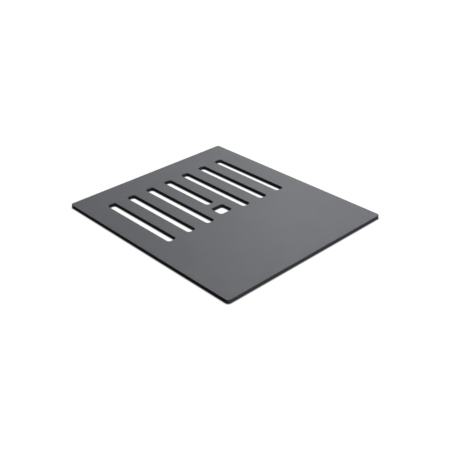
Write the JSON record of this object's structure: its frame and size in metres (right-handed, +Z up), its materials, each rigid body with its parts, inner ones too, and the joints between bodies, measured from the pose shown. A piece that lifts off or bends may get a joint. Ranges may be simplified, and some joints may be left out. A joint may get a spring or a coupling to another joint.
{
  "type": "floor drain grate",
  "caption": "Flat rectangular coated steel plate with a row of parallel drain slots in one half and a small square lifting hole; lies loose over a floor drain.",
  "frame": {"origin": "centre of the plate's underside, on the surface that it rests on", "axes": "+Z up through the thickness, +X along the slots towards the plain half, +Y across the row of slots"},
  "size_m": [0.24, 0.21, 0.0041],
  "materials": {
    "graphite_coat": "satin, finely textured dark graphite coat"
  },
  "bodies": {
    "root": {"grate_plate": "graphite_coat"}
  },
  "joints": []
}
